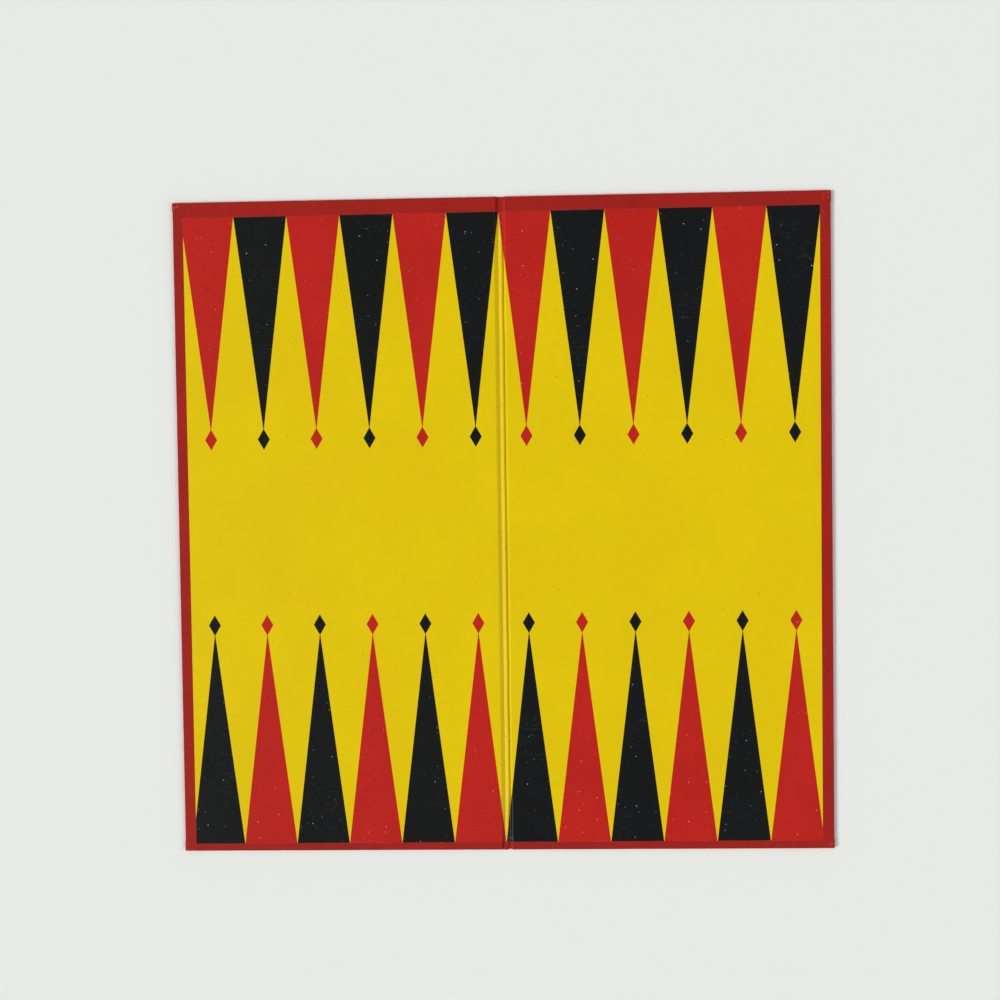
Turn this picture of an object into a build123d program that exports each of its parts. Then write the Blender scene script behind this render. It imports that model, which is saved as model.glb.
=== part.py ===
from build123d import *
import math
import os

# A folding backgammon board: two chipboard panels in a grained paper wrap, with a printed sheet on the face.
# Millimetres. The board lies open and flat, print side up. X runs across the fold, Y along it, Z up.
# The origin is the middle of the back face, which rests on the table.

# Open board
board_width = 470.0
board_depth = 470.0

# Thickness of each layer
wrap_thickness = 0.2
core_thickness = 2.0
sheet_thickness = 0.12
ink_thickness = 0.03

# Wrap
turn_in_width = 15.0
edge_radius = 0.4

# Fold
closed_gap = 0.3
core_setback = 2.25
crease_press = 0.05
crease_clearance = 0.05
ridge_height = 1.1

# Printed sheet, cut a little out of square: the bare border that it leaves at both ends of each board edge
far_border_left = 11.1
far_border_right = 10.1
near_border_left = 5.2
near_border_right = 5.9
left_border_far = 7.2
left_border_near = 7.9
right_border_far = 7.6
right_border_near = 8.2

# Print: the paper that the folds take up across the gutter, and how far the print runs past the sheet's
# trimmed sides. Points are measured from the level of the sheet's left corners.
points_per_row = 12
point_length = 152.3
diamond_length = 14.8
diamond_width = 8.7
neck_width = 0.3
crease_take_up = 1.86
print_bleed_left = 1.53
print_bleed_right = 0.53

# Heights of the stacked faces on a panel
core_top = wrap_thickness + core_thickness
sheet_top = core_top + sheet_thickness
ink_top = sheet_top + ink_thickness

# The pressed laminate at a crease, and the hinge line just above it
crease_wrap_top = 2 * wrap_thickness - crease_press
crease_drop = core_top - crease_wrap_top
crease_height = ink_top - crease_drop + crease_clearance

# A fold of 90 degrees at each of two creases brings the printed faces together, closed_gap apart
crease_offset = ink_top + closed_gap / 2 - crease_height
shoulder_offset = crease_offset + core_setback

half_width = board_width / 2
half_depth = board_depth / 2

# The points fill the sheet from side to side, so its far corners set their width and middle
print_left = left_border_far - half_width - print_bleed_left
print_right = half_width - right_border_far + print_bleed_right
point_pitch = (print_right - print_left + crease_take_up) / points_per_row
print_middle = (print_left + print_right) / 2

LEFT = -1
RIGHT = 1


def contour(section, outer, height, y):
    """Edges, from left to right, of a face of the laminate that is at the given height on a panel."""
    low = height - crease_drop
    if section == "spine":
        ridge = Vector(0, y, low + ridge_height)
        left = Vector(-crease_offset, y, low)
        right = Vector(crease_offset, y, low)
        level = [Vector(1, 0, 0), Vector(1, 0, 0)]
        rise = Edge.make_spline([left, ridge], tangents=level)
        fall = Edge.make_spline([ridge, right], tangents=level)
        return [rise, fall]
    start = Vector(section * outer, y, height)
    shoulder = Vector(section * shoulder_offset, y, height)
    crease = Vector(section * crease_offset, y, low)
    inward = Vector(-section, 0, 0)
    return [Edge.make_line(start, shoulder), Edge.make_spline([shoulder, crease], tangents=[inward, inward])]


def ends(edges):
    """First and last point of a chain of edges."""
    return edges[0] @ 0, edges[-1] @ 1


def layer(section, outer, y_range, top, thickness):
    """A sheet of even thickness that follows the panel's face and the folds, between two values of Y."""
    y_low, y_high = y_range
    upper = contour(section, outer, top, y_low)
    lower = contour(section, outer, top - thickness, y_low)
    upper_start, upper_end = ends(upper)
    lower_start, lower_end = ends(lower)
    sides = [Edge.make_line(lower_start, upper_start), Edge.make_line(lower_end, upper_end)]
    face = Face(Wire(upper + lower + sides))
    return Solid.extrude(face, Vector(0, y_high - y_low, 0))


def edge_wall(section, y_range):
    """The wrap where it goes round the board's far or near edge, from the back up to the turned-in face."""
    y_low, y_high = y_range
    upper = contour(section, half_width, core_top, y_low)
    upper_start, upper_end = ends(upper)
    lower_start = Vector(upper_start.X, y_low, 0)
    lower_end = Vector(upper_end.X, y_low, 0)
    rim = [Edge.make_line(lower_start, upper_start), Edge.make_line(lower_end, upper_end)]
    rim.append(Edge.make_line(lower_start, lower_end))
    face = Face(Wire(upper + rim))
    return Solid.extrude(face, Vector(0, y_high - y_low, 0))


def box_between(low, high):
    """A box from its lowest to its highest corner."""
    size = [high[i] - low[i] for i in range(3)]
    return Solid.make_box(*size, Plane(origin=low))


def spans(section):
    """Lowest and highest X of a section's back."""
    if section == "spine":
        return -crease_offset, crease_offset
    return tuple(sorted((section * half_width, section * crease_offset)))


def rounded_block():
    """The open board's outer block, with the round that paper takes where it bends over the edges."""
    block = box_between((-half_width, -half_depth, 0), (half_width, half_depth, core_top))
    return block.fillet(edge_radius, block.edges())


def cover(section):
    """The wrap on one section: back, edge walls and the flaps turned in onto the face."""
    x_low, x_high = spans(section)
    shell = box_between((x_low, -half_depth, 0), (x_high, half_depth, wrap_thickness))
    for side in (-1, 1):
        wall = sorted((side * half_depth, side * (half_depth - wrap_thickness)))
        flap = sorted((side * half_depth, side * (half_depth - turn_in_width)))
        shell += edge_wall(section, wall)
        shell += layer(section, half_width, flap, core_top, wrap_thickness)
    if section != "spine":
        outer = section * half_width
        wall = sorted((outer, outer - section * wrap_thickness))
        flap = sorted((outer, outer - section * turn_in_width))
        flap_bottom = core_top - wrap_thickness
        shell += box_between((wall[0], -half_depth, 0), (wall[1], half_depth, core_top))
        shell += box_between((flap[0], -half_depth, flap_bottom), (flap[1], half_depth, core_top))
    return shell & rounded_block()


def core(side):
    """A chipboard panel. Its rim is pressed down by the wrap's thickness under the turned-in flaps."""
    inner = side * shoulder_offset
    rim = sorted((side * (half_width - wrap_thickness), inner))
    middle = sorted((side * (half_width - turn_in_width), inner))
    rim_reach = half_depth - wrap_thickness
    middle_reach = half_depth - turn_in_width
    rim_top = core_top - wrap_thickness
    panel = box_between((rim[0], -rim_reach, wrap_thickness), (rim[1], rim_reach, rim_top))
    panel += box_between((middle[0], -middle_reach, wrap_thickness), (middle[1], middle_reach, core_top))
    return panel


def sheet_outline():
    """Corners of the printed sheet, far left first, going clockwise as seen from above."""
    return [
        (left_border_far - half_width, half_depth - far_border_left),
        (half_width - right_border_far, half_depth - far_border_right),
        (half_width - right_border_near, near_border_right - half_depth),
        (left_border_near - half_width, near_border_left - half_depth),
    ]


def prism(corners):
    """An upright prism, taller than the board, on a closed outline."""
    base = Face(Wire.make_polygon([Vector(x, y, 0) for x, y in corners]))
    return Solid.extrude(base, Vector(0, 0, 2 * ink_top))


def print_x(step):
    """Place across the board of a print line, counted in point widths from the fold."""
    taken = math.copysign(crease_take_up / 2, step) if step else 0
    return print_middle + step * point_pitch - taken


def point_outline(place, row):
    """A long point that runs out over the sheet's edge, with a diamond on its tip by a thin neck."""
    first = place - points_per_row / 2
    middle = print_x(first + 0.5)
    edge_y = row * half_depth
    base_y = edge_y - far_border_left if row > 0 else edge_y + near_border_left
    tip_y = base_y - row * point_length
    waist_y = tip_y - row * diamond_length / 2
    end_y = tip_y - row * diamond_length
    return [
        (print_x(first), edge_y),
        (print_x(first), base_y),
        (middle - neck_width / 2, tip_y),
        (middle - diamond_width / 2, waist_y),
        (middle, end_y),
        (middle + diamond_width / 2, waist_y),
        (middle + neck_width / 2, tip_y),
        (print_x(first + 1), base_y),
        (print_x(first + 1), edge_y),
    ]


def printed_layer(section, top, thickness):
    """A layer of the printed sheet on one section, cut to the sheet's outline."""
    reach = half_depth - edge_radius
    whole = layer(section, half_width - edge_radius, (-reach, reach), top, thickness)
    return whole & prism(sheet_outline())


def ink(section, colour):
    """The points of one colour on one section. The far row starts with red and the near row with black."""
    film = printed_layer(section, ink_top, ink_thickness)
    marks = []
    for row in (-1, 1):
        for place in range(points_per_row):
            is_red = place % 2 == (0 if row > 0 else 1)
            if is_red != (colour == "red"):
                continue
            mark = film & prism(point_outline(place, row))
            marks += mark.solids() if mark else []
    return Compound(children=marks)


def main():
    names = {LEFT: "left", RIGHT: "right", "spine": "spine"}
    parts = {}
    for section, name in names.items():
        parts[f"wrap_{name}"] = cover(section)
        parts[f"printed_sheet_{name}"] = printed_layer(section, sheet_top, sheet_thickness)
        parts[f"black_points_{name}"] = ink(section, "black")
        parts[f"red_points_{name}"] = ink(section, "red")
    parts["core_left"] = core(LEFT)
    parts["core_right"] = core(RIGHT)

    print(f"crease line: x = -+{crease_offset:.3f}, z = {crease_height:.3f}")
    os.makedirs("parts", exist_ok=True)
    for name, shape in parts.items():
        export_step(shape, f"parts/{name}.step")


main()
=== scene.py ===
import math

import bmesh
import bpy
from mathutils import Matrix, Vector, noise


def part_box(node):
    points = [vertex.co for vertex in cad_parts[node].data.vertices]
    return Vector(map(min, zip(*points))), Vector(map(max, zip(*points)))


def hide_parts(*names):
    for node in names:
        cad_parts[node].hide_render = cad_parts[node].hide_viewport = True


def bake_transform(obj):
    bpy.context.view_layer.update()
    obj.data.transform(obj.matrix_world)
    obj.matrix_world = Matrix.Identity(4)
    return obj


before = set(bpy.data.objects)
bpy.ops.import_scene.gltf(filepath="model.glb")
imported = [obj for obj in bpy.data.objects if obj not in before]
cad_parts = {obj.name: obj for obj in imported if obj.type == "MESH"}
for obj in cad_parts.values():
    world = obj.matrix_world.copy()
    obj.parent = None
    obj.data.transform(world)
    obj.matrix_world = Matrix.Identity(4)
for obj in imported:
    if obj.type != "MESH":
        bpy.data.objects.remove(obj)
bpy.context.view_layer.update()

MM = 0.001

# Sizes read from the frame
HALF_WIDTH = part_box("wrap_right")[1][0]
HALF_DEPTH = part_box("wrap_right")[1][1]
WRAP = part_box("core_left")[0][2]
CORE_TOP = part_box("core_left")[1][2]
SHEET_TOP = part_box("printed_sheet_left")[1][2]
INK_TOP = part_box("black_points_left")[1][2]
INK = INK_TOP - SHEET_TOP
SHEET = SHEET_TOP - CORE_TOP
CREASE_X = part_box("wrap_spine")[1][0]
SHOULDER_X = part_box("core_right")[0][0]
SHEET_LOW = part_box("printed_sheet_spine")[0][2]
SHEET_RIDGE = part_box("printed_sheet_spine")[1][2]
CREASE_DROP = CORE_TOP - SHEET_LOW
RIDGE_RISE = SHEET_RIDGE - SHEET_LOW - SHEET

# The printed sheet was cut a little out of square, and its corners are rubbed round. Its borders are what
# it leaves bare of the board at each corner, to the side and to the end, by side and row.
SHEET_BORDERS = {
    (-1, 1): (7.2 * MM, 11.1 * MM),
    (1, 1): (7.6 * MM, 10.1 * MM),
    (1, -1): (8.2 * MM, 5.9 * MM),
    (-1, -1): (7.9 * MM, 5.2 * MM),
}
SHEET_CORNER = 0.9 * MM
CORNER_STEPS = 6

# How far the sheet's cut edge leans in, and how far the faces of ink are kept clear of it in the gutter
CUT_EDGE = 0.12 * MM
INK_LIFT = 0.05 * MM

# Print, laid out as on the solids. It runs past the sheet's trimmed sides by its bleeds, and the gutter
# takes up some of its width.
POINTS_PER_ROW = 12
POINT_LENGTH = 152.3 * MM
DIAMOND_LENGTH = 14.8 * MM
DIAMOND_WIDTH = 8.7 * MM
NECK_WIDTH = 0.3 * MM
BASE_GAP = 0.1 * MM
CREASE_TAKE_UP = 1.86 * MM
PRINT_BLEED_LEFT = 1.53 * MM
PRINT_BLEED_RIGHT = 0.53 * MM
PRINT_LEFT = SHEET_BORDERS[-1, 1][0] - HALF_WIDTH - PRINT_BLEED_LEFT
PRINT_RIGHT = HALF_WIDTH - SHEET_BORDERS[1, 1][0] + PRINT_BLEED_RIGHT
PRINT_MIDDLE = (PRINT_LEFT + PRINT_RIGHT) / 2
POINT_PITCH = (PRINT_RIGHT - PRINT_LEFT + CREASE_TAKE_UP) / POINTS_PER_ROW

# The pressed gutter, as places across it and the share of its depth there. Its ridge leans to the right, it
# changes towards its far and near ends, and its lines waver along the fold.
RIDGE_X = 1.2 * MM
RIDGE_SHARE = 1 - RIDGE_RISE / CREASE_DROP
GUTTER = ((-SHOULDER_X, 0.0), (-1.5 * MM, 1.0), (RIDGE_X, RIDGE_SHARE), (2.5 * MM, 1.0), (SHOULDER_X, 0.0))
GUTTER_FAR = ((-2.9 * MM, 0.0), (-1.8 * MM, 1.0), (1.0 * MM, 0.82), (2.2 * MM, 0.76), (SHOULDER_X, 0.0))
GUTTER_NEAR = ((-SHOULDER_X, 0.0), (-3.1 * MM, 1.0), (0.2 * MM, 0.6), (1.9 * MM, 1.0), (SHOULDER_X, 0.0))
GUTTER_END = 45 * MM
GUTTER_WAVER = 0.22 * MM
SLOW_WAVES_PER_METRE = 35
FAST_WAVES_PER_METRE = 140

# Lines that a bending piece is cut along, from the fold outwards and down its length, and the step and
# number of its closer rows at the far and near edges
FOLD_STEP = 0.17 * MM
FOLD_REACH = SHOULDER_X + 1.2 * MM
FOLD_LENGTH_STEP = 5 * MM
PRINT_END_ROWS = (1.25 * MM, 36)
WRAP_END_ROWS = (0.5 * MM, 15)

# Wrap: its turn-ins, its rounded edges and corners, how far in from the edge its rows of points lie, and how
# far apart they are along it
TURN_IN = 15 * MM
EDGE_RADIUS = 0.4 * MM
EDGE_DEGREES = (0, 22.5, 45, 67.5, 90)
CORNER_RADIUS = 0.9 * MM
FACE_INSETS = [inset * MM for inset in (0.8, 1.4, 2.2, 3.1, 4.2, 5.5, 7, 9, 12, 15)]
BACK_INSETS = (1.6 * MM, 4 * MM, TURN_IN)
RIM_STEP = 3 * MM

# The far and near turn-ins lap over the side ones: how far down each side they reach, by whether it is right
# and far, and what their extra layer adds in height and in the outline
LAP_LENGTH = {
    (False, True): 6.9 * MM,
    (True, True): 8.2 * MM,
    (False, False): 7.6 * MM,
    (True, False): 6.9 * MM,
}
LAP_EDGE = 0.35 * MM
LAP_CUTS = (0.0, 0.12 * MM, 0.24 * MM, LAP_EDGE)
LAP_RISE = 0.08 * MM
LAP_RISE_FADE = 1.5 * MM
LAP_STEP = 0.3 * MM

# Wear of the outer edges: how far in it reaches, and its broad, sparse dents and small nicks
WEAR_REACH = 1.5 * MM
DENTS_PER_METRE = 90
DENT_SPARSENESS = 0.1
DENT_DEPTH = 0.16 * MM
NICKS_PER_METRE = 700
NICK_DEPTH = 0.05 * MM

# The crumpled ends of the fold: how far in they reach, how soon they rise to their full height, how low they
# may sink, and how much weaker the far one is
CRUMPLE_REACH = 8 * MM
CRUMPLE_FADE = 5 * MM
CRUMPLE_SIDE_FADE = 1.2 * MM
CRUMPLE_LOWEST = 0.26 * MM
CRUMPLE_FAR_SHARE = 0.45

# Their broad and small folds, as a height and how many lie in a metre across the board and along it
BROAD_FOLD = 0.6 * MM
BROAD_FOLDS_PER_METRE = (260, 180)
SMALL_FOLD = 0.55 * MM
SMALL_FOLDS_PER_METRE = (520, 420)

# The bulge that they make in the board's outline, left of the middle
BULGE = 0.45 * MM
BULGE_REACH = 3 * MM
BULGE_MIDDLE = -2 * MM
BULGE_HALF_WIDTH = 3.4 * MM
BULGE_FADE = 2.4 * MM

# Camera, fitted to the photo: its turn about each axis in radians, and the board's place seen from it
CAMERA_LENS_MM = 48.6
CAMERA_TURN = (0.0314, 0.0330, -0.0126)
CAMERA_OFFSET = Vector((2.33, -18.38, -970.1)) * MM

# The floor lies just below the board's back
FLOOR_SIZE = 6.0
FLOOR_LEVEL = -0.02 * MM

# The sky's strength low down and overhead, and how high, from 0 to 1, its fade starts and ends
SKY_LOW = 0.62
SKY_OVERHEAD = 0.22
SKY_FADE_START = 0.55
SKY_FADE_END = 0.95


def smooth(t):
    """Rises from 0 to 1 with level ends."""
    t = max(0.0, min(1.0, t))
    return t * t * (3 - 2 * t)


def gutter_at(y):
    """The gutter's profile at a place along the fold."""
    end = GUTTER_FAR if y > 0 else GUTTER_NEAR
    share = smooth((abs(y) - HALF_DEPTH + GUTTER_END) / GUTTER_END)
    return [(x + (x_end - x) * share, drop + (drop_end - drop) * share)
            for (x, drop), (x_end, drop_end) in zip(GUTTER, end)]


def fold_drop(x, y):
    """How far the laminate lies below the panel's face, across the gutter and along it."""
    if abs(x) >= SHOULDER_X:
        return 0.0
    slow = noise.noise(Vector((0, y * SLOW_WAVES_PER_METRE, 0)))
    fast = noise.noise(Vector((5, y * FAST_WAVES_PER_METRE, 0)))
    waver = slow + 0.5 * fast
    x += waver * GUTTER_WAVER * smooth((SHOULDER_X - abs(x)) / (SHOULDER_X - CREASE_X))
    profile = gutter_at(y)
    if x <= profile[0][0]:
        return 0.0
    for (x_a, share_a), (x_b, share_b) in zip(profile, profile[1:]):
        if x <= x_b:
            return CREASE_DROP * (share_a + (share_b - share_a) * smooth((x - x_a) / (x_b - x_a)))
    return 0.0


def cut(bm, geometry, spot, normal):
    """Cuts edges into part of a mesh where a plane crosses it."""
    bmesh.ops.bisect_plane(bm, geom=geometry, dist=1e-7, plane_co=spot, plane_no=normal)


def cut_at_folds(bm, side, end_step, end_rows):
    """Cuts a half's mesh along the fold, so that it can follow the gutter, with some closer rows at the far
    and near edges."""
    count = int(FOLD_REACH / FOLD_STEP)
    for i in range(1, count + 1):
        cut(bm, bm.verts[:] + bm.edges[:] + bm.faces[:], (side * i * FOLD_STEP, 0, 0), (1, 0, 0))
    count = int(HALF_DEPTH / FOLD_LENGTH_STEP)
    rows = [i * FOLD_LENGTH_STEP for i in range(-count, count + 1)]
    for way in (-1, 1):
        rows += [way * (HALF_DEPTH - i * end_step) for i in range(1, end_rows + 1)]
    for y in rows:
        faces = [face for face in bm.faces if abs(face.calc_center_median().x) < FOLD_REACH]
        verts = dict.fromkeys(vertex for face in faces for vertex in face.verts)
        edges = dict.fromkeys(edge for face in faces for edge in face.edges)
        cut(bm, faces + list(verts) + list(edges), (0, y, 0), (0, 1, 0))


def make_object(name, bm, materials, sharp_degrees=35):
    """An object with smooth faces and sharp corners, which stores on each point where it is at rest."""
    bmesh.ops.recalc_face_normals(bm, faces=bm.faces[:])
    limit = math.radians(sharp_degrees)
    for face in bm.faces:
        face.smooth = True
    for edge in bm.edges:
        edge.smooth = len(edge.link_faces) == 2 and edge.calc_face_angle(0) < limit
    mesh = bpy.data.meshes.new(name)
    bm.to_mesh(mesh)
    bm.free()
    rest = mesh.attributes.new("rest", "FLOAT_VECTOR", "POINT")
    places = [c for vertex in mesh.vertices for c in vertex.co]
    rest.data.foreach_set("vector", places)
    for material in materials:
        mesh.materials.append(material)
    piece = bpy.data.objects.new(name, mesh)
    bpy.context.scene.collection.objects.link(piece)
    return piece


def bend_with_fold(piece, side):
    """Bakes a half's piece's transform into its mesh, the same way for either side."""
    if side < 0:
        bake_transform(piece)
    else:
        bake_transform(piece)


# Node graphs

class Graph:
    """A material's node graph, with short calls for the textures that the board uses. They follow the rest
    place that make_object stores, or else the object's own axes."""

    def __init__(self, name, stored_rest=True):
        self.material = bpy.data.materials.new(name)
        self.material.use_nodes = True
        self.nodes = self.material.node_tree.nodes
        self.links = self.material.node_tree.links
        self.shader = self.nodes["Principled BSDF"]
        if stored_rest:
            attribute = self.nodes.new("ShaderNodeAttribute")
            attribute.attribute_name = "rest"
            self.rest = attribute.outputs["Vector"]
        else:
            self.rest = self.nodes.new("ShaderNodeTexCoord").outputs["Object"]

    def feed(self, socket, value):
        """Links a socket to another one, or sets its value."""
        if isinstance(value, bpy.types.NodeSocket):
            self.links.new(value, socket)
        else:
            socket.default_value = value

    def math(self, operation, a, b=0.0):
        node = self.nodes.new("ShaderNodeMath")
        node.operation = operation
        self.feed(node.inputs[0], a)
        self.feed(node.inputs[1], b)
        return node.outputs[0]

    def stretched(self, scale, turn):
        """The rest place, scaled and turned about the board's upright axis."""
        node = self.nodes.new("ShaderNodeMapping")
        node.inputs["Scale"].default_value = scale
        node.inputs["Rotation"].default_value = (0, 0, turn)
        self.links.new(self.rest, node.inputs["Vector"])
        return node.outputs["Vector"]

    def noise(self, size, detail=3.0, roughness=0.5, vector=None):
        """Noise whose blotches are about size across."""
        node = self.nodes.new("ShaderNodeTexNoise")
        node.inputs["Scale"].default_value = 1 / size
        node.inputs["Detail"].default_value = detail
        node.inputs["Roughness"].default_value = roughness
        self.links.new(vector or self.rest, node.inputs["Vector"])
        return node.outputs["Fac"]

    def cells(self, size, feature="F1", vector=None, flat=False):
        """Voronoi cells about size across. Flat ones run straight through the board."""
        node = self.nodes.new("ShaderNodeTexVoronoi")
        node.voronoi_dimensions = "2D" if flat else "3D"
        node.feature = feature
        node.inputs["Scale"].default_value = 1 / size
        self.links.new(vector or self.rest, node.inputs["Vector"])
        return node

    def between(self, value, low, high, out_low=0.0, out_high=1.0):
        """Maps low..high to out_low..out_high with soft ends."""
        node = self.nodes.new("ShaderNodeMapRange")
        node.interpolation_type = "SMOOTHSTEP"
        self.feed(node.inputs["Value"], value)
        node.inputs["From Min"].default_value = low
        node.inputs["From Max"].default_value = high
        node.inputs["To Min"].default_value = out_low
        node.inputs["To Max"].default_value = out_high
        return node.outputs["Result"]

    def mix(self, share, a, b):
        """Two colours mixed. The node repeats its sockets' names for other kinds, so they go by number."""
        node = self.nodes.new("ShaderNodeMix")
        node.data_type = "RGBA"
        self.feed(node.inputs[0], share)
        self.feed(node.inputs[6], a)
        self.feed(node.inputs[7], b)
        return node.outputs[2]

    def coordinate(self, axis):
        """The rest place along axis 0, 1 or 2."""
        node = self.nodes.new("ShaderNodeSeparateXYZ")
        self.links.new(self.rest, node.inputs[0])
        return node.outputs[axis]

    def specks(self, spacing, radius, share):
        """Sparse round specks: 1 inside, 0 outside. share is how many of the cells hold one."""
        cell = self.cells(spacing, flat=True)
        near = self.between(cell.outputs["Distance"], radius / spacing, radius / spacing * 0.6)
        channel = self.nodes.new("ShaderNodeSeparateColor")
        self.links.new(cell.outputs["Color"], channel.inputs[0])
        chosen = self.math("LESS_THAN", channel.outputs[0], share)
        return self.math("MULTIPLY", near, chosen)

    def bump(self, height, distance, strength, below=None):
        """The normal of a height map, on top of another bump if below is given."""
        node = self.nodes.new("ShaderNodeBump")
        node.inputs["Strength"].default_value = strength
        node.inputs["Distance"].default_value = distance
        self.links.new(height, node.inputs["Height"])
        if below:
            self.links.new(below, node.inputs["Normal"])
        return node.outputs["Normal"]

    def finish(self, color, roughness, specular, normal):
        """Feeds the shader and gives back the material."""
        self.feed(self.shader.inputs["Base Color"], color)
        self.feed(self.shader.inputs["Roughness"], roughness)
        self.shader.inputs["Specular IOR Level"].default_value = specular
        self.links.new(normal, self.shader.inputs["Normal"])
        return self.material


def tone(red, green, blue):
    """An sRGB colour, 0 to 255, as linear values."""
    def linear(c):
        c = c / 255
        return c / 12.92 if c <= 0.04045 else ((c + 0.055) / 1.055) ** 2.4
    return linear(red), linear(green), linear(blue), 1.0


def fold_rub(graph):
    """Where folding rubs the print: 1 along the lips of the gutter and its ridge, broken up by noise."""
    reach = 0.4 * MM
    across = graph.coordinate(0)
    lip = graph.math("ABSOLUTE", graph.math("SUBTRACT", graph.math("ABSOLUTE", across), SHOULDER_X))
    ridge = graph.math("ABSOLUTE", graph.math("SUBTRACT", across, RIDGE_X))
    band = graph.between(graph.math("MINIMUM", lip, ridge), reach, 0.0)
    broken = graph.between(graph.noise(2.2 * MM, 4, 0.6), 0.5, 0.66)
    return graph.math("MULTIPLY", band, broken)


def paper_relief(graph):
    """Slow cockling of pasted paper, with its fibre on top."""
    cockle = graph.bump(graph.noise(60 * MM, 1.0), 0.5 * MM, 0.5)
    fibre = graph.noise(0.5 * MM, 3, 0.6)
    return graph.bump(fibre, 0.02 * MM, 0.6, cockle)


def printed_paper(name, base, deep, pale, speck, rub, gloss, specular, speckled):
    """Flat print on smooth paper, with mottling, pinholes, hairline scuffs and rubbing at the fold. speckled
    is how thickly the specks lie, and gloss is the roughness of unworn print."""
    graph = Graph(name)
    cloud = graph.between(graph.noise(70 * MM, 3), 0.35, 0.65)
    grain = graph.between(graph.noise(0.9 * MM, 4, 0.65), 0.3, 0.75)
    blotch = graph.between(graph.noise(7 * MM, 3, 0.6), 0.42, 0.72)
    color = graph.mix(graph.math("MULTIPLY", cloud, 0.6), base, deep)
    color = graph.mix(graph.math("MULTIPLY", blotch, 0.3), color, deep)
    color = graph.mix(graph.math("MULTIPLY", grain, 0.25), color, pale)
    pinholes = graph.specks(13 * MM, 0.5 * MM, 0.28 * speckled)
    dots = graph.specks(5 * MM, 0.3 * MM, 0.07 * speckled)
    dust = graph.specks(1.9 * MM, 0.15 * MM, 0.035 * speckled)
    marks = graph.math("MAXIMUM", graph.math("MAXIMUM", pinholes, dots), dust)
    faded = graph.between(graph.noise(5 * MM, 2), 0.35, 0.65, 0.25, 1.0)
    color = graph.mix(graph.math("MULTIPLY", marks, faded), color, speck)
    scuffs = []
    for turn, size in ((0.5, 9 * MM), (-1.1, 14 * MM)):
        streak = graph.noise(size, 2, 0.5, graph.stretched((1, 26, 1), turn))
        patch = graph.between(graph.noise(38 * MM, 2), 0.5, 0.68)
        scuffs.append(graph.math("MULTIPLY", graph.between(streak, 0.66, 0.72), patch))
    scuff = graph.math("MAXIMUM", scuffs[0], scuffs[1])
    color = graph.mix(graph.math("MULTIPLY", scuff, 0.11), color, speck)
    color = graph.mix(graph.math("MULTIPLY", fold_rub(graph), 0.2), color, rub)
    worn = graph.math("MULTIPLY", graph.math("ADD", grain, scuff), 0.09)
    roughness = graph.math("ADD", gloss, worn)
    return graph.finish(color, roughness, specular, paper_relief(graph))


def grained_wrap():
    """Red cover paper with a pressed pebble grain whose hollows carry painted shade, rubbed pale on its
    outer edges and corners.
    """
    graph = Graph("wrap_grained_paper")
    warp = graph.nodes.new("ShaderNodeVectorMath")
    warp.operation = "MULTIPLY_ADD"
    wobble = graph.nodes.new("ShaderNodeTexNoise")
    wobble.inputs["Scale"].default_value = 1 / (1.8 * MM)
    graph.links.new(graph.rest, wobble.inputs["Vector"])
    graph.links.new(wobble.outputs["Color"], warp.inputs[0])
    warp.inputs[1].default_value = (0.5 * MM, 0.5 * MM, 0.5 * MM)
    graph.links.new(graph.rest, warp.inputs[2])
    pebble = graph.cells(0.95 * MM, "DISTANCE_TO_EDGE", warp.outputs[0]).outputs["Distance"]
    height = graph.between(pebble, 0.0, 0.32)
    cloud = graph.between(graph.noise(55 * MM, 3), 0.35, 0.65)
    stain = graph.between(graph.noise(9 * MM, 4, 0.6), 0.45, 0.75)
    color = graph.mix(cloud, tone(163, 28, 19), tone(154, 25, 16))
    color = graph.mix(graph.math("MULTIPLY", stain, 0.25), color, tone(140, 24, 17))
    # Painted shade: the hollows between the grain's pebbles are painted a darker red, as shade in its
    # grooves.
    color = graph.mix(graph.between(height, 0.0, 0.5, 0.3, 0.0), color, tone(104, 18, 14))
    across = graph.math("ABSOLUTE", graph.coordinate(0))
    along = graph.math("ABSOLUTE", graph.coordinate(1))
    side = graph.between(across, HALF_WIDTH - 0.7 * MM, HALF_WIDTH)
    end = graph.between(along, HALF_DEPTH - 0.7 * MM, HALF_DEPTH)
    edge = graph.math("MAXIMUM", side, end)
    near_side = graph.between(across, HALF_WIDTH - 9 * MM, HALF_WIDTH)
    near_end = graph.between(along, HALF_DEPTH - 9 * MM, HALF_DEPTH)
    near_corner = graph.math("MULTIPLY", near_side, near_end)
    torn = graph.between(graph.noise(2.4 * MM, 5, 0.65), 0.52, 0.66)
    rubbed = graph.math("MULTIPLY", edge, graph.math("MULTIPLY", torn, 0.3))
    corner_wear = graph.math("MULTIPLY", near_corner, graph.math("MULTIPLY", torn, 0.6))
    color = graph.mix(graph.math("MAXIMUM", rubbed, corner_wear), color, tone(196, 118, 98))
    small_specks = graph.specks(5 * MM, 0.25 * MM, 0.2)
    large_specks = graph.specks(12 * MM, 0.5 * MM, 0.2)
    specks = graph.math("MAXIMUM", small_specks, large_specks)
    color = graph.mix(graph.math("MULTIPLY", specks, 0.4), color, tone(190, 92, 80))
    roughness = graph.math("ADD", 0.5, graph.math("MULTIPLY", cloud, 0.08))
    slow = graph.bump(graph.noise(45 * MM, 1.0), 0.4 * MM, 0.15)
    normal = graph.bump(height, 0.05 * MM, 0.7, slow)
    normal = graph.bump(graph.noise(0.25 * MM, 3, 0.6), 0.01 * MM, 0.5, normal)
    return graph.finish(color, roughness, 0.16, normal)


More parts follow.
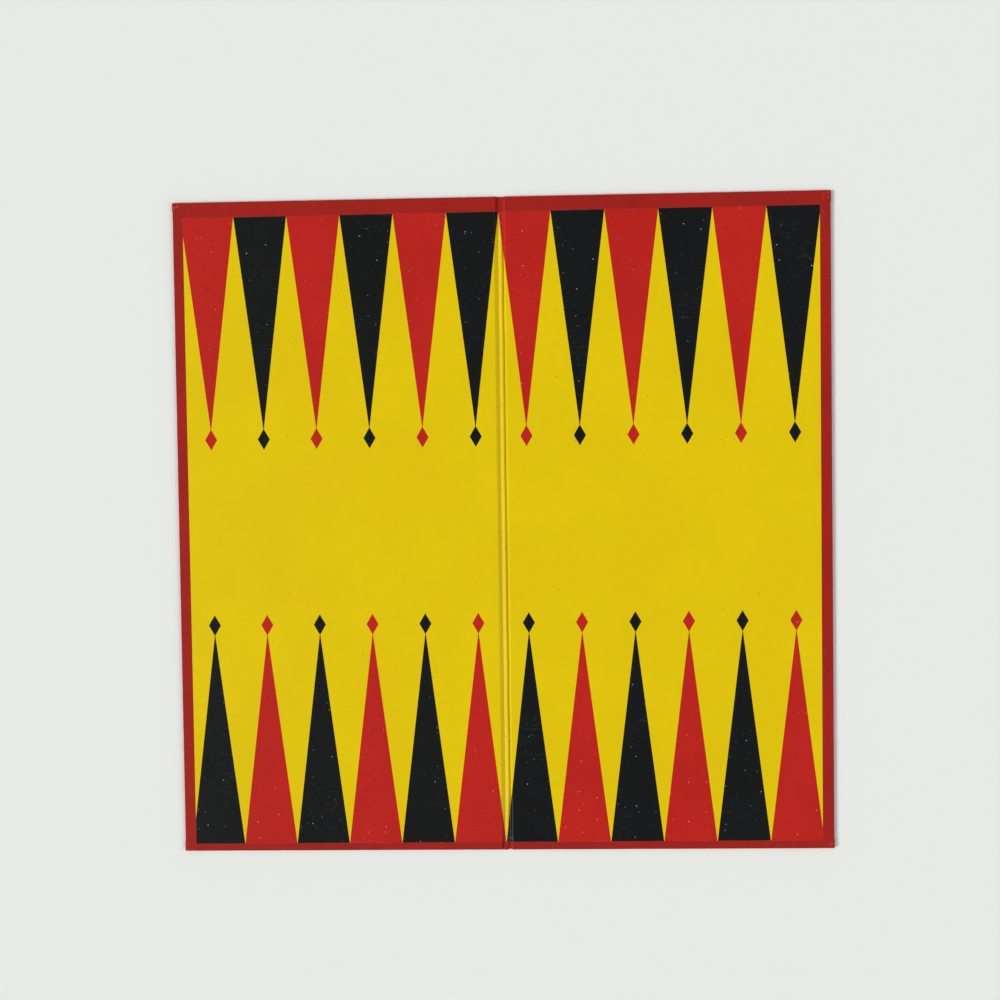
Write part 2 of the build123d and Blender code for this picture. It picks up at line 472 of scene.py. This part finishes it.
def cut_paper():
    """The raw edge of cut paper, stained by what it was pasted and printed with."""
    graph = Graph("cut_paper_edge")
    fibre = graph.noise(0.3 * MM, 4, 0.7)
    stain = graph.between(graph.noise(6 * MM, 4, 0.6), 0.35, 0.6)
    color = graph.mix(fibre, tone(150, 96, 84), tone(178, 132, 112))
    color = graph.mix(graph.math("MULTIPLY", stain, 0.9), color, tone(118, 30, 25))
    return graph.finish(color, 0.85, 0.15, graph.bump(fibre, 0.02 * MM, 0.6))


def chipboard():
    """Grey board of pressed waste paper, seen only where the wrap lets it show."""
    graph = Graph("grey_chipboard", stored_rest=False)
    fibre = graph.noise(0.7 * MM, 5, 0.7)
    flecks = graph.specks(2.2 * MM, 0.25 * MM, 0.3)
    color = graph.mix(fibre, tone(150, 140, 124), tone(178, 168, 150))
    color = graph.mix(graph.math("MULTIPLY", flecks, 0.6), color, tone(96, 88, 80))
    return graph.finish(color, 0.9, 0.2, graph.bump(fibre, 0.05 * MM, 0.6))


# Outlines of the sheet and the print

def cut_off(shape, spot, outward):
    """What is left of a shape, a list of points, without all that lies outward of a line through spot."""
    kept = []
    for p, q in zip(shape, shape[1:] + shape[:1]):
        p_out = outward.dot(p - spot)
        q_out = outward.dot(q - spot)
        if p_out <= 0:
            kept.append(p)
        if p_out * q_out < 0:
            kept.append(p + (q - p) * (p_out / (p_out - q_out)))
    return kept


def clip(shape, fence):
    """What of a shape lies within a convex fence. Both are lists of points, and the fence's go round
    counter-clockwise."""
    for a, b in zip(fence, fence[1:] + fence[:1]):
        if (b - a).length > 1e-9 and shape:
            shape = cut_off(shape, a, Vector((b.y - a.y, a.x - b.x)))
    return shape


def sheet_outline(side, inset):
    """One half of the sheet, counter-clockwise from above, drawn in by inset but not at the fold."""
    corners = []
    for key in ((1, -1), (1, 1), (-1, 1), (-1, -1)):
        side_border, end_border = SHEET_BORDERS[key]
        corner_x = key[0] * (HALF_WIDTH - side_border)
        corner_y = key[1] * (HALF_DEPTH - end_border)
        corners.append(Vector((corner_x, corner_y)))
    ring = []
    for i, corner in enumerate(corners):
        back = (corners[i - 1] - corner).normalized()
        on = (corners[(i + 1) % 4] - corner).normalized()
        half_angle = back.angle(on) / 2
        centre = corner + (back + on).normalized() * SHEET_CORNER / math.sin(half_angle)
        radius = SHEET_CORNER - inset
        first = math.atan2(-back.x, back.y) + math.pi
        turn = math.pi - 2 * half_angle
        for step in range(CORNER_STEPS + 1):
            angle = first + turn * step / CORNER_STEPS
            ring.append(centre + Vector((math.cos(angle), math.sin(angle))) * radius)
    return cut_off(ring, Vector((0, 0)), Vector((-side, 0)))


def print_x(step):
    """Place across the board of a print line, counted in point widths from the fold."""
    taken = math.copysign(CREASE_TAKE_UP / 2, step) if step else 0.0
    return PRINT_MIDDLE + step * POINT_PITCH - taken


def point_outline(place, row):
    """A point that runs out over the sheet's edge, and the diamond on its tip. Its length is measured from
    the level of the sheet's left corners."""
    first = place - POINTS_PER_ROW / 2
    middle = print_x(first + 0.5)
    edge_y = row * HALF_DEPTH
    base_y = edge_y - row * SHEET_BORDERS[-1, row][1]
    tip_y = base_y - row * POINT_LENGTH
    waist_y = tip_y - row * DIAMOND_LENGTH / 2
    end_y = tip_y - row * DIAMOND_LENGTH
    return [
        Vector((print_x(first) + BASE_GAP / 2, edge_y)),
        Vector((print_x(first) + BASE_GAP / 2, base_y)),
        Vector((middle - NECK_WIDTH / 2, tip_y)),
        Vector((middle - DIAMOND_WIDTH / 2, waist_y)),
        Vector((middle, end_y)),
        Vector((middle + DIAMOND_WIDTH / 2, waist_y)),
        Vector((middle + NECK_WIDTH / 2, tip_y)),
        Vector((print_x(first + 1) - BASE_GAP / 2, base_y)),
        Vector((print_x(first + 1) - BASE_GAP / 2, edge_y)),
    ]


def add_film(bm, upper, lower, top, thickness, rim_material=0):
    """A flat sheet between two rings of as many points each, with upper at height top and lower a thickness
    below it."""
    above = [bm.verts.new((p.x, p.y, top)) for p in upper]
    below = [bm.verts.new((p.x, p.y, top - thickness)) for p in lower]
    bm.faces.new(above)
    bm.faces.new(below[::-1])
    for i in range(len(above)):
        j = (i + 1) % len(above)
        rim = bm.faces.new((above[i], below[i], below[j], above[j]))
        rim.material_index = rim_material


def lay_in_gutter(bm, lift=0.0):
    """Lets a flat film down into the gutter. A lift keeps the faces of ink clear of the sheet's where both
    curve."""
    for vertex in bm.verts:
        if vertex.co.z > INK_TOP - INK / 2:
            vertex.co.z += lift * smooth((FOLD_REACH - abs(vertex.co.x)) / (FOLD_REACH - SHOULDER_X))
        vertex.co.z -= fold_drop(vertex.co.x, vertex.co.y)


def make_sheet(side, half, materials):
    """One half of the printed sheet. Its second material is the paper's cut edge."""
    bm = bmesh.new()
    upper = sheet_outline(side, CUT_EDGE)
    lower = sheet_outline(side, 0.0)
    add_film(bm, upper, lower, SHEET_TOP, SHEET, rim_material=1)
    cut_at_folds(bm, side, *PRINT_END_ROWS)
    lay_in_gutter(bm)
    piece = make_object(f"sheet_{half}", bm, materials)
    bend_with_fold(piece, side)
    return piece


def make_points(side, half, colour, material):
    """The points of one colour on one half. The far row starts with red and the near row with black."""
    bm = bmesh.new()
    fence = sheet_outline(side, CUT_EDGE)
    for row in (-1, 1):
        for place in range(POINTS_PER_ROW):
            is_red = place % 2 == (0 if row > 0 else 1)
            if is_red != (colour == "red"):
                continue
            shape = clip(point_outline(place, row), fence)
            if shape:
                add_film(bm, shape, shape, INK_TOP, INK)
    cut_at_folds(bm, side, *PRINT_END_ROWS)
    lay_in_gutter(bm, INK_LIFT)
    piece = make_object(f"{colour}_print_{half}", bm, [material])
    bend_with_fold(piece, side)
    return piece


# Wrap

def even_steps(low, high):
    """Places from low to high, both included, about a rim step apart."""
    count = round((high - low) / RIM_STEP)
    return [low + (high - low) * i / count for i in range(count + 1)]


def rim_profile():
    """Outer and inner faces of the wrap across an edge: (inset from the edge, height), from face to back."""
    angles = [math.radians(degrees) for degrees in EDGE_DEGREES]
    rounding = [(EDGE_RADIUS * (1 - math.sin(a)), EDGE_RADIUS * (1 - math.cos(a))) for a in angles]
    outer = [(inset, CORE_TOP) for inset in FACE_INSETS[::-1]]
    outer += [(inset, CORE_TOP - drop) for inset, drop in rounding]
    outer.append((0.0, CORE_TOP / 2))
    outer += rounding[::-1]
    outer += [(inset, 0.0) for inset in BACK_INSETS]
    inner = [(TURN_IN, WRAP), (WRAP, WRAP), (WRAP, CORE_TOP - WRAP), (TURN_IN, CORE_TOP - WRAP)]
    return outer, inner


def rim_stations(side):
    """Points along a half's outline, from the fold at the far edge round to the fold at the near edge. Each
    is a function that gives the place at an inset. Past the corner's radius, the insets meet in a mitre."""
    def end_place(x, way):
        def place(inset):
            reach = HALF_WIDTH - max(inset, CORNER_RADIUS)
            return Vector((side * min(x, reach), way * (HALF_DEPTH - inset)))
        return place

    def side_place(y):
        def place(inset):
            reach = HALF_DEPTH - max(inset, CORNER_RADIUS)
            return Vector((side * (HALF_WIDTH - inset), max(-reach, min(y, reach))))
        return place

    def corner_place(way, angle):
        def place(inset):
            out = max(CORNER_RADIUS - inset, 0.0)
            past = max(inset, CORNER_RADIUS)
            return Vector((side * (HALF_WIDTH - past + out * math.sin(angle)),
                           way * (HALF_DEPTH - past + out * math.cos(angle))))
        return place

    corner_steps = [inset for inset in FACE_INSETS[::-1] if inset > CORNER_RADIUS] + [CORNER_RADIUS]
    steps_x = even_steps(0.0, HALF_WIDTH - TURN_IN)[:-1] + [HALF_WIDTH - inset for inset in corner_steps]
    steps_y = even_steps(0.0, HALF_DEPTH - TURN_IN)[1:-1] + [HALF_DEPTH - inset for inset in corner_steps]
    quarter = [math.radians(90 * i / CORNER_STEPS) for i in range(1, CORNER_STEPS)]
    stations = [end_place(x, 1) for x in steps_x]
    stations += [corner_place(1, angle) for angle in quarter]
    stations += [side_place(y) for y in steps_y[::-1] + [0.0] + [-y for y in steps_y]]
    stations += [corner_place(-1, angle) for angle in quarter[::-1]]
    stations += [end_place(x, -1) for x in steps_x[::-1]]
    return stations


def strip(bm, rows, material_index=0):
    """Faces between neighbouring rows of points."""
    for first, second in zip(rows, rows[1:]):
        for i in range(len(first) - 1):
            face = bm.faces.new((first[i], first[i + 1], second[i + 1], second[i]))
            face.material_index = material_index


def let_down_flaps(co):
    """Lowers the turned-in ends of the wrap into the gutter and leaves its back flat."""
    share = (co.z - WRAP) / (CORE_TOP - 2 * WRAP)
    co.z -= fold_drop(co.x, co.y) * max(0.0, min(1.0, share))


def wear_edge(co):
    """Small dents that years of handling leave in the outer edges."""
    inset = min(HALF_WIDTH - abs(co.x), HALF_DEPTH - abs(co.y))
    if inset > WEAR_REACH:
        return
    share = 1 - inset / WEAR_REACH
    broad = noise.noise(Vector((co.x, co.y, 0)) * DENTS_PER_METRE)
    small = noise.noise(Vector((co.x, co.y, 1)) * NICKS_PER_METRE)
    dent = max(0.0, broad - DENT_SPARSENESS) * DENT_DEPTH + max(0.0, small) * NICK_DEPTH
    if HALF_WIDTH - abs(co.x) < HALF_DEPTH - abs(co.y):
        co.x -= math.copysign(dent * share, co.x)
    else:
        co.y -= math.copysign(dent * share, co.y)


def lap_corner(co):
    """The wrap is turned in at the far and near edges last, so those flaps lap a little down each side."""
    from_side = HALF_WIDTH - abs(co.x)
    from_end = HALF_DEPTH - abs(co.y)
    lap = LAP_LENGTH[co.x > 0, co.y > 0]
    if from_side > TURN_IN or from_end > lap:
        return
    edge = smooth((lap - from_end) / LAP_EDGE)
    on_face = co.z > CORE_TOP - 0.05 * MM
    on_side = from_side < 0.6 * MM and co.z > 0.35 * MM
    if on_face:
        co.z += LAP_RISE * edge * smooth(from_side / LAP_RISE_FADE)
    if on_side:
        co.x += math.copysign(LAP_STEP * edge, co.x)


def crumple_end(co):
    """Paper gathers into small folds where the gutter runs out over the board's near and far edges."""
    from_end = HALF_DEPTH - abs(co.y)
    on_back = co.z < 0.3 * MM
    if abs(co.x) > SHOULDER_X or from_end > CRUMPLE_REACH or on_back:
        return
    across = smooth((SHOULDER_X - abs(co.x)) / CRUMPLE_SIDE_FADE)
    amount = across * smooth((CRUMPLE_REACH - from_end) / CRUMPLE_FADE)
    if co.y > 0:
        amount *= CRUMPLE_FAR_SHARE
    broad_across, broad_along = BROAD_FOLDS_PER_METRE
    small_across, small_along = SMALL_FOLDS_PER_METRE
    broad = noise.noise(Vector((co.x * broad_across, co.y * broad_along, 7)))
    small = noise.noise(Vector((co.x * small_across, co.y * small_along, 3)))
    lifted = co.z + amount * (BROAD_FOLD * broad + SMALL_FOLD * small)
    co.z = max(lifted, min(co.z, CRUMPLE_LOWEST))
    bulge = smooth((BULGE_REACH - from_end) / BULGE_REACH)
    bulge *= smooth((BULGE_HALF_WIDTH - abs(co.x - BULGE_MIDDLE)) / BULGE_FADE)
    co.y += math.copysign(bulge * amount * BULGE, co.y)


def make_wrap(side, half, materials):
    """One half of the wrap, hollow over its panel. Its second material is the raw edge of the turn-ins."""
    bm = bmesh.new()
    outer_profile, inner_profile = rim_profile()
    outer = []
    inner = []
    for station in rim_stations(side):
        outer.append([bm.verts.new((*station(d), z)) for d, z in outer_profile])
        inner.append([bm.verts.new((*station(d), z)) for d, z in inner_profile])
    strip(bm, outer)
    strip(bm, inner)
    flap_edges = [[low[-1], high[0]] for high, low in zip(outer, inner)]
    strip(bm, flap_edges, material_index=1)
    bm.faces.new([row[-1] for row in outer])
    bm.faces.new([row[0] for row in inner])
    bm.faces.new(outer[0] + outer[-1][::-1] + inner[-1][::-1] + inner[0])
    bmesh.ops.remove_doubles(bm, verts=bm.verts[:], dist=1e-6)
    cut_at_folds(bm, side, *WRAP_END_ROWS)
    for lap in (LAP_LENGTH[side > 0, False], LAP_LENGTH[side > 0, True]):
        for way in (-1, 1):
            for extra in LAP_CUTS:
                spot = (0, way * (HALF_DEPTH - lap + extra), 0)
                cut(bm, bm.verts[:] + bm.edges[:] + bm.faces[:], spot, (0, 1, 0))
    for vertex in bm.verts:
        let_down_flaps(vertex.co)
        wear_edge(vertex.co)
        lap_corner(vertex.co)
        crumple_end(vertex.co)
    piece = make_object(f"wrap_{half}_half", bm, materials, sharp_degrees=50)
    bend_with_fold(piece, side)
    return piece


# Board

def make_board():
    """All the board's pieces, in place of the frame's plain ones, and new card on its panels."""
    yellow_paper = printed_paper(
        "yellow_print", base=tone(219, 191, 0), deep=tone(212, 182, 0), pale=tone(226, 199, 4),
        speck=tone(150, 112, 10), rub=tone(232, 210, 60), gloss=0.42, specular=0.13, speckled=0.35)
    red_print = printed_paper(
        "red_print", base=tone(182, 28, 20), deep=tone(168, 22, 16), pale=tone(194, 41, 31),
        speck=tone(222, 128, 120), rub=tone(206, 96, 70), gloss=0.4, specular=0.2, speckled=1.0)
    black_print = printed_paper(
        "black_print", base=tone(8, 12, 12), deep=tone(4, 8, 7), pale=tone(16, 21, 22),
        speck=tone(138, 158, 168), rub=tone(96, 96, 92), gloss=0.34, specular=0.26, speckled=1.0)
    wrap_paper = grained_wrap()
    raw_edge = cut_paper()
    for side, half in ((-1, "left"), (1, "right")):
        sheet = make_sheet(side, half, [yellow_paper, raw_edge])
        black_points = make_points(side, half, "black", black_print)
        red_points = make_points(side, half, "red", red_print)
        wrap = make_wrap(side, half, [wrap_paper, raw_edge])
        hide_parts(f"printed_sheet_{half}", "printed_sheet_spine")
        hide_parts(f"black_points_{half}", "black_points_spine")
        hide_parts(f"red_points_{half}", "red_points_spine")
        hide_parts(f"wrap_{half}", "wrap_spine")
    board = chipboard()
    for node in ("core_left", "core_right"):
        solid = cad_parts[node]
        solid.data.materials.clear()
        solid.data.materials.append(board)


# Surroundings

def make_camera():
    """Straight above the board, but for the small tilt of a hand-held shot."""
    tilt_x, tilt_y, roll = CAMERA_TURN
    turn = Matrix.Rotation(-tilt_x, 3, "X") @ Matrix.Rotation(tilt_y, 3, "Y")
    turn = turn @ Matrix.Rotation(roll, 3, "Z")
    data = bpy.data.cameras.new("camera")
    data.lens = CAMERA_LENS_MM
    camera = bpy.data.objects.new("camera", data)
    place = -(turn @ CAMERA_OFFSET) + Vector((0, 0, INK_TOP))
    camera.matrix_world = Matrix.Translation(place) @ turn.to_4x4()
    bpy.context.scene.collection.objects.link(camera)
    bpy.context.scene.camera = camera


def make_light(name, place, energy, degrees, color):
    """A soft sun that shines from a place towards the board, and looks so many degrees wide."""
    sun = bpy.data.lights.new(name, "SUN")
    sun.energy = energy
    sun.angle = math.radians(degrees)
    sun.color = color
    light = bpy.data.objects.new(name, sun)
    turn = (-Vector(place)).to_track_quat("-Z", "Y")
    light.matrix_world = Matrix.Translation(place) @ turn.to_matrix().to_4x4()
    bpy.context.scene.collection.objects.link(light)


def make_lights():
    """Soft light from a wide window on the left, and a weaker, softer fill from the right."""
    make_light("window", (-2.0, -0.4, 1.45), energy=2.5, degrees=22, color=(1.0, 0.985, 0.96))
    make_light("fill", (2.9, -1.0, 2.0), energy=0.95, degrees=40, color=(0.98, 0.99, 1.0))


def make_floor():
    """A pale, plain floor under the board."""
    mesh = bpy.data.meshes.new("floor")
    half = FLOOR_SIZE / 2
    corners = [(x, y, FLOOR_LEVEL) for x, y in ((-half, -half), (half, -half), (half, half), (-half, half))]
    mesh.from_pydata(corners, [], [(0, 1, 2, 3)])
    floor = bpy.data.objects.new("floor", mesh)
    bpy.context.scene.collection.objects.link(floor)
    material = bpy.data.materials.new("floor")
    material.use_nodes = True
    shader = material.node_tree.nodes["Principled BSDF"]
    shader.inputs["Base Color"].default_value = tone(226, 228, 224)
    shader.inputs["Roughness"].default_value = 0.8
    shader.inputs["Specular IOR Level"].default_value = 0.1
    mesh.materials.append(material)


def make_world():
    """An even studio, a little darker straight overhead, so that gloss doesn't grey the print."""
    world = bpy.data.worlds.new("studio")
    world.use_nodes = True
    nodes = world.node_tree.nodes
    links = world.node_tree.links
    sky = nodes["Background"]
    sky.inputs["Color"].default_value = (0.96, 0.98, 1.0, 1.0)
    direction = nodes.new("ShaderNodeTexCoord")
    parts = nodes.new("ShaderNodeSeparateXYZ")
    fade = nodes.new("ShaderNodeMapRange")
    fade.interpolation_type = "SMOOTHSTEP"
    fade.inputs["From Min"].default_value = SKY_FADE_START
    fade.inputs["From Max"].default_value = SKY_FADE_END
    fade.inputs["To Min"].default_value = SKY_LOW
    fade.inputs["To Max"].default_value = SKY_OVERHEAD
    links.new(direction.outputs["Generated"], parts.inputs[0])
    links.new(parts.outputs["Z"], fade.inputs["Value"])
    links.new(fade.outputs["Result"], sky.inputs["Strength"])
    bpy.context.scene.world = world


make_camera()
make_board()
make_floor()
make_world()
make_lights()
bpy.context.scene.view_settings.view_transform = "Standard"
